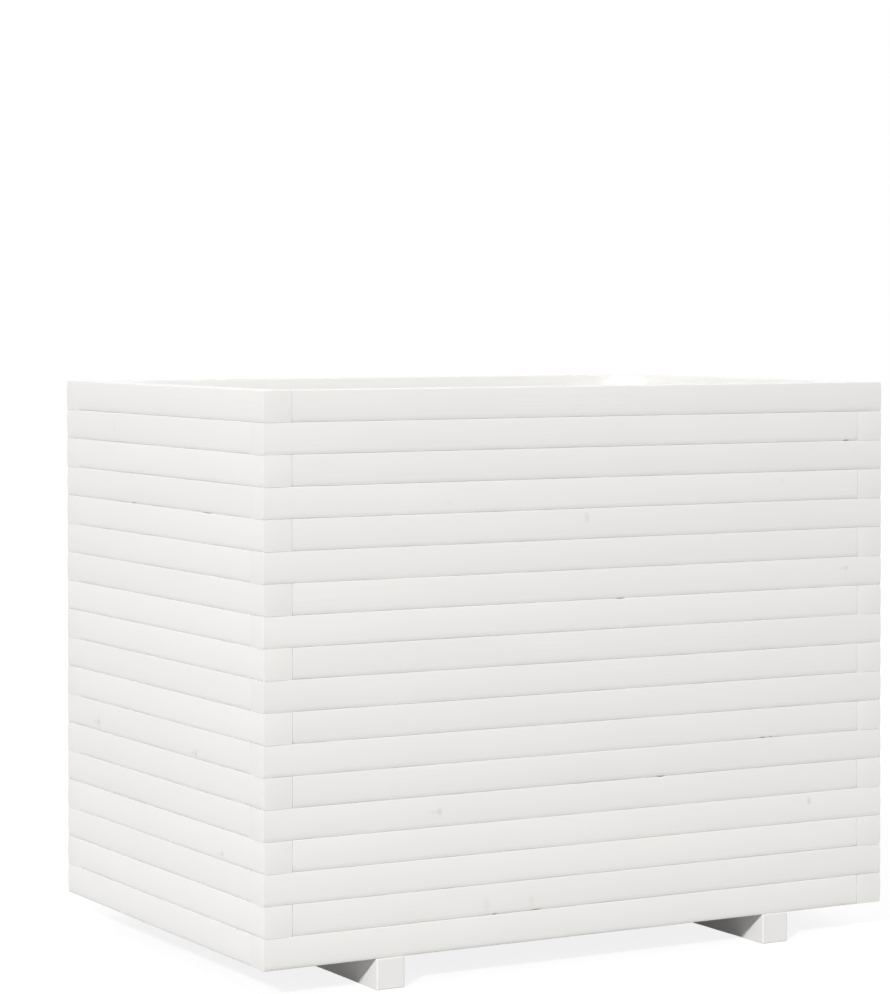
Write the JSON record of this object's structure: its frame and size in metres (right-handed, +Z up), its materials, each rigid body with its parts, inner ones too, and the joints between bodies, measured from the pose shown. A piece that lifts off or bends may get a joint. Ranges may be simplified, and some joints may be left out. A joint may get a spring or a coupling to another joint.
{
  "type": "rectangular wooden planter",
  "caption": "Tall rectangular garden planter of stacked square painted slats that lap at the corners, open at the top, with a slotted floor, standing on two runners.",
  "frame": {"origin": "on the ground, below the middle of the box", "axes": "+X along the long front towards the right end, +Y from the front to the back, +Z up"},
  "size_m": [0.9, 0.6, 0.7217],
  "materials": {
    "painted_timber": "white satin paint over planed pine, grain and knots just showing",
    "floor_timber": "thin white paint over planed pine boards",
    "screw_metal": "zinc-plated steel"
  },
  "bodies": {
    "root": {"front_slat_01": "painted_timber", "front_slat_02": "painted_timber", "front_slat_03": "painted_timber", "front_slat_04": "painted_timber", "front_slat_05": "painted_timber", "front_slat_06": "painted_timber", "front_slat_07": "painted_timber", "front_slat_08": "painted_timber", "front_slat_09": "painted_timber", "front_slat_10": "painted_timber", "front_slat_11": "painted_timber", "front_slat_12": "painted_timber", "front_slat_13": "painted_timber", "front_slat_14": "painted_timber", "front_slat_15": "painted_timber", "front_slat_16": "painted_timber", "front_slat_17": "painted_timber", "front_slat_18": "painted_timber", "back_slat_01": "painted_timber", "back_slat_02": "painted_timber", "back_slat_03": "painted_timber", "back_slat_04": "painted_timber", "back_slat_05": "painted_timber", "back_slat_06": "painted_timber", "back_slat_07": "painted_timber", "back_slat_08": "painted_timber", "back_slat_09": "painted_timber", "back_slat_10": "painted_timber", "back_slat_11": "painted_timber", "back_slat_12": "painted_timber", "back_slat_13": "painted_timber", "back_slat_14": "painted_timber", "back_slat_15": "painted_timber", "back_slat_16": "painted_timber", "back_slat_17": "painted_timber", "back_slat_18": "painted_timber", "left_end_panel": "painted_timber", "right_end_panel": "painted_timber", "front_left_post": "painted_timber", "front_right_post": "painted_timber", "back_left_post": "painted_timber", "back_right_post": "painted_timber", "left_runner": "painted_timber", "right_runner": "painted_timber", "floor_board_1": "floor_timber", "floor_board_2": "floor_timber", "floor_board_3": "floor_timber", "floor_board_4": "floor_timber", "floor_screw_left_1": "screw_metal", "floor_screw_left_2": "screw_metal", "floor_screw_left_3": "screw_metal", "floor_screw_left_4": "screw_metal", "floor_screw_right_1": "screw_metal", "floor_screw_right_2": "screw_metal", "floor_screw_right_3": "screw_metal", "floor_screw_right_4": "screw_metal", "runner_screw_front_left": "screw_metal", "runner_screw_back_left": "screw_metal", "runner_screw_front_right": "screw_metal", "runner_screw_back_right": "screw_metal"}
  },
  "joints": []
}
